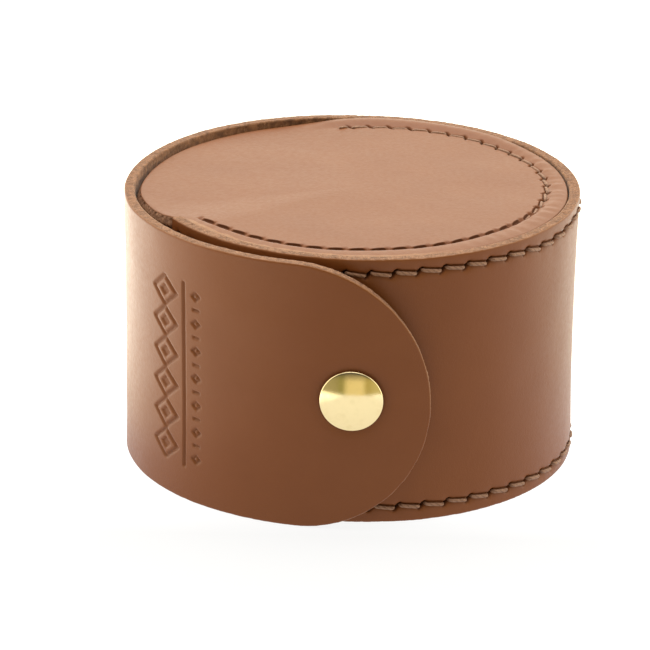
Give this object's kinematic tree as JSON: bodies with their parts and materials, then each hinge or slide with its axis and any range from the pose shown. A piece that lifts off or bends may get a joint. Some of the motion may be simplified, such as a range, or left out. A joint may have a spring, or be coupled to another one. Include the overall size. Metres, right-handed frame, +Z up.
{
  "type": "round leather case",
  "caption": "Round drum-shaped leather case: a strap stitched round two discs that carries on as a wrap-round flap closed by a brass press stud.",
  "frame": {"origin": "centre of the underside, on the axis of the drum", "axes": "+Z up along the drum's axis, -Y towards the press stud, +X to the right of someone facing the stud"},
  "size_m": [0.1107, 0.1117, 0.066],
  "materials": {
    "case_leather": "smooth vegetable-tanned, satin",
    "thread": "waxed twisted thread",
    "stud_brass": "polished",
    "spring_steel": "bright wire"
  },
  "bodies": {
    "case_body": {"wall_band": "case_leather", "top_disc": "case_leather", "bottom_disc": "case_leather", "top_seam_outer_thread": "thread", "bottom_seam_outer_thread": "thread", "top_seam_inner_thread": "thread", "bottom_seam_inner_thread": "thread", "male_stud": "stud_brass", "stud_eyelet": "stud_brass"},
    "flap_base": {"flap_root": "case_leather"},
    "flap_middle": {"flap_side": "case_leather"},
    "flap_end": {"flap_front": "case_leather", "stud_cap": "stud_brass", "stud_socket": "stud_brass", "socket_spring": "spring_steel"}
  },
  "joints": [
    {"name": "flap_root_fold", "type": "hinge", "parent": "case_body", "child": "flap_base", "pos_m": [-0.01826, 0.05018, 0.033], "axis": [0, 0, -1], "range_deg": [0, 36], "stiffness_Nm_per_rad": 0.12},
    {"name": "flap_side_fold", "type": "hinge", "parent": "flap_base", "child": "flap_middle", "pos_m": [-0.05081, 0.02369, 0.033], "axis": [0, 0, -1], "range_deg": [0, 36], "stiffness_Nm_per_rad": 0.12},
    {"name": "flap_front_fold", "type": "hinge", "parent": "flap_middle", "child": "flap_end", "pos_m": [-0.0548, -0.01994, 0.033], "axis": [0, 0, -1], "range_deg": [0, 54], "stiffness_Nm_per_rad": 0.12, "deforming": ["socket_spring"]}
  ],
  "couplings": [
    {"joint": "flap_side_fold", "follows": "flap_root_fold", "ratio": 1},
    {"joint": "flap_front_fold", "follows": "flap_root_fold", "ratio": 1.5}
  ]
}
